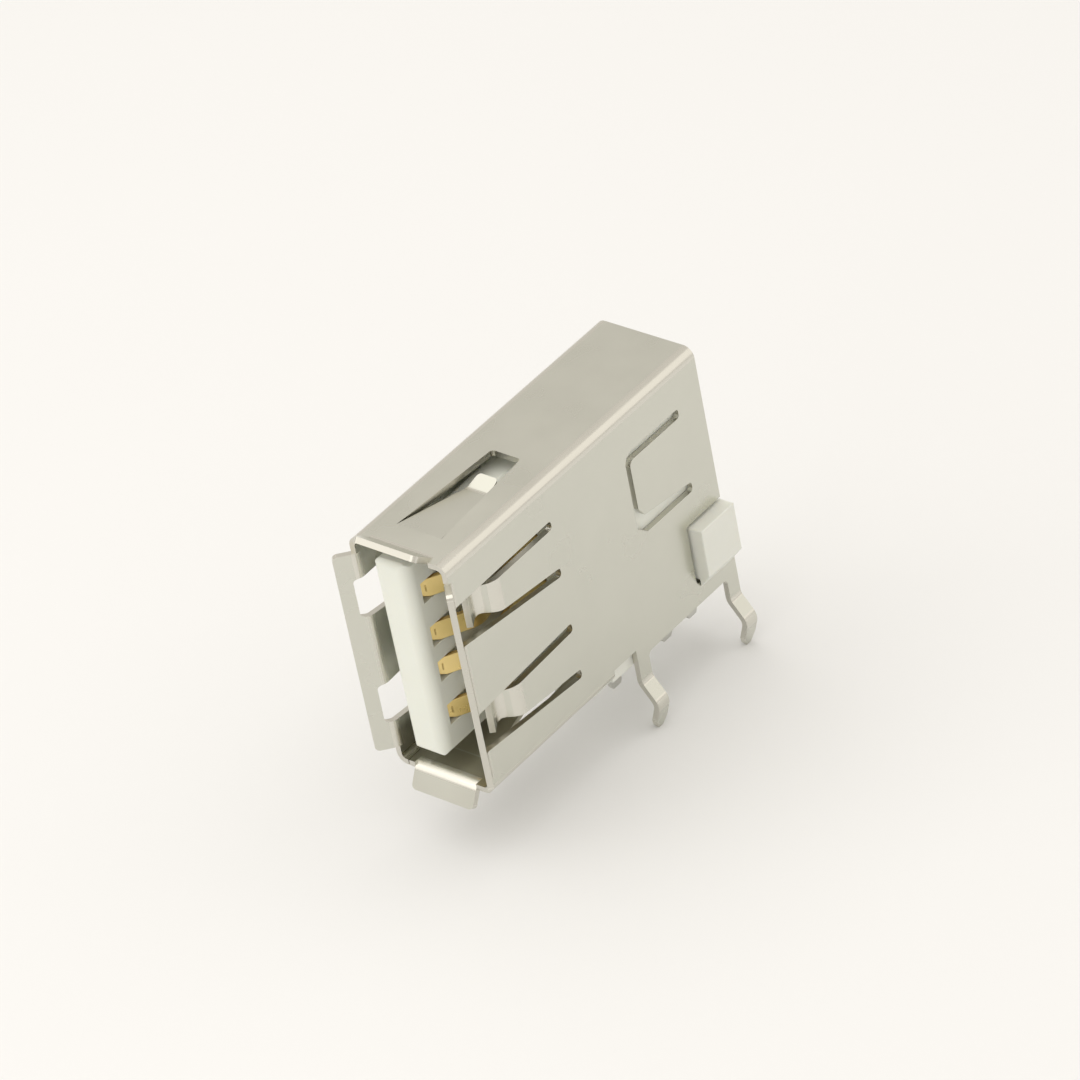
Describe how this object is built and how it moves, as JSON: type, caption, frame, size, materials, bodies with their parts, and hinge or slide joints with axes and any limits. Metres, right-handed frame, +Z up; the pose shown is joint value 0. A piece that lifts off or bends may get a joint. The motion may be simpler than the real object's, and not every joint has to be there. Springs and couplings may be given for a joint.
{
  "type": "upright type a socket",
  "caption": "Upright board-mounted socket: folded metal shell with a flared mouth and spring fingers, white contact tongue, solder legs and tails.",
  "frame": {"origin": "on the board surface, at the middle of the rectangle of the four shell legs", "axes": "+Z up from the board, +Y from the mouth towards the closed rear, +X across the narrow width towards the side that the contacts face"},
  "size_m": [0.0072, 0.0196, 0.0179],
  "materials": {
    "shell_plate": "satin tin plate",
    "insulator": "smooth moulded",
    "guide_plastic": "smooth moulded",
    "contact_metal": "gold flash with tinned tails"
  },
  "bodies": {
    "root": {"shell": "shell_plate", "housing": "insulator", "tail_guide": "guide_plastic", "contact_1": "contact_metal", "contact_2": "contact_metal", "contact_3": "contact_metal", "contact_4": "contact_metal"}
  },
  "joints": []
}
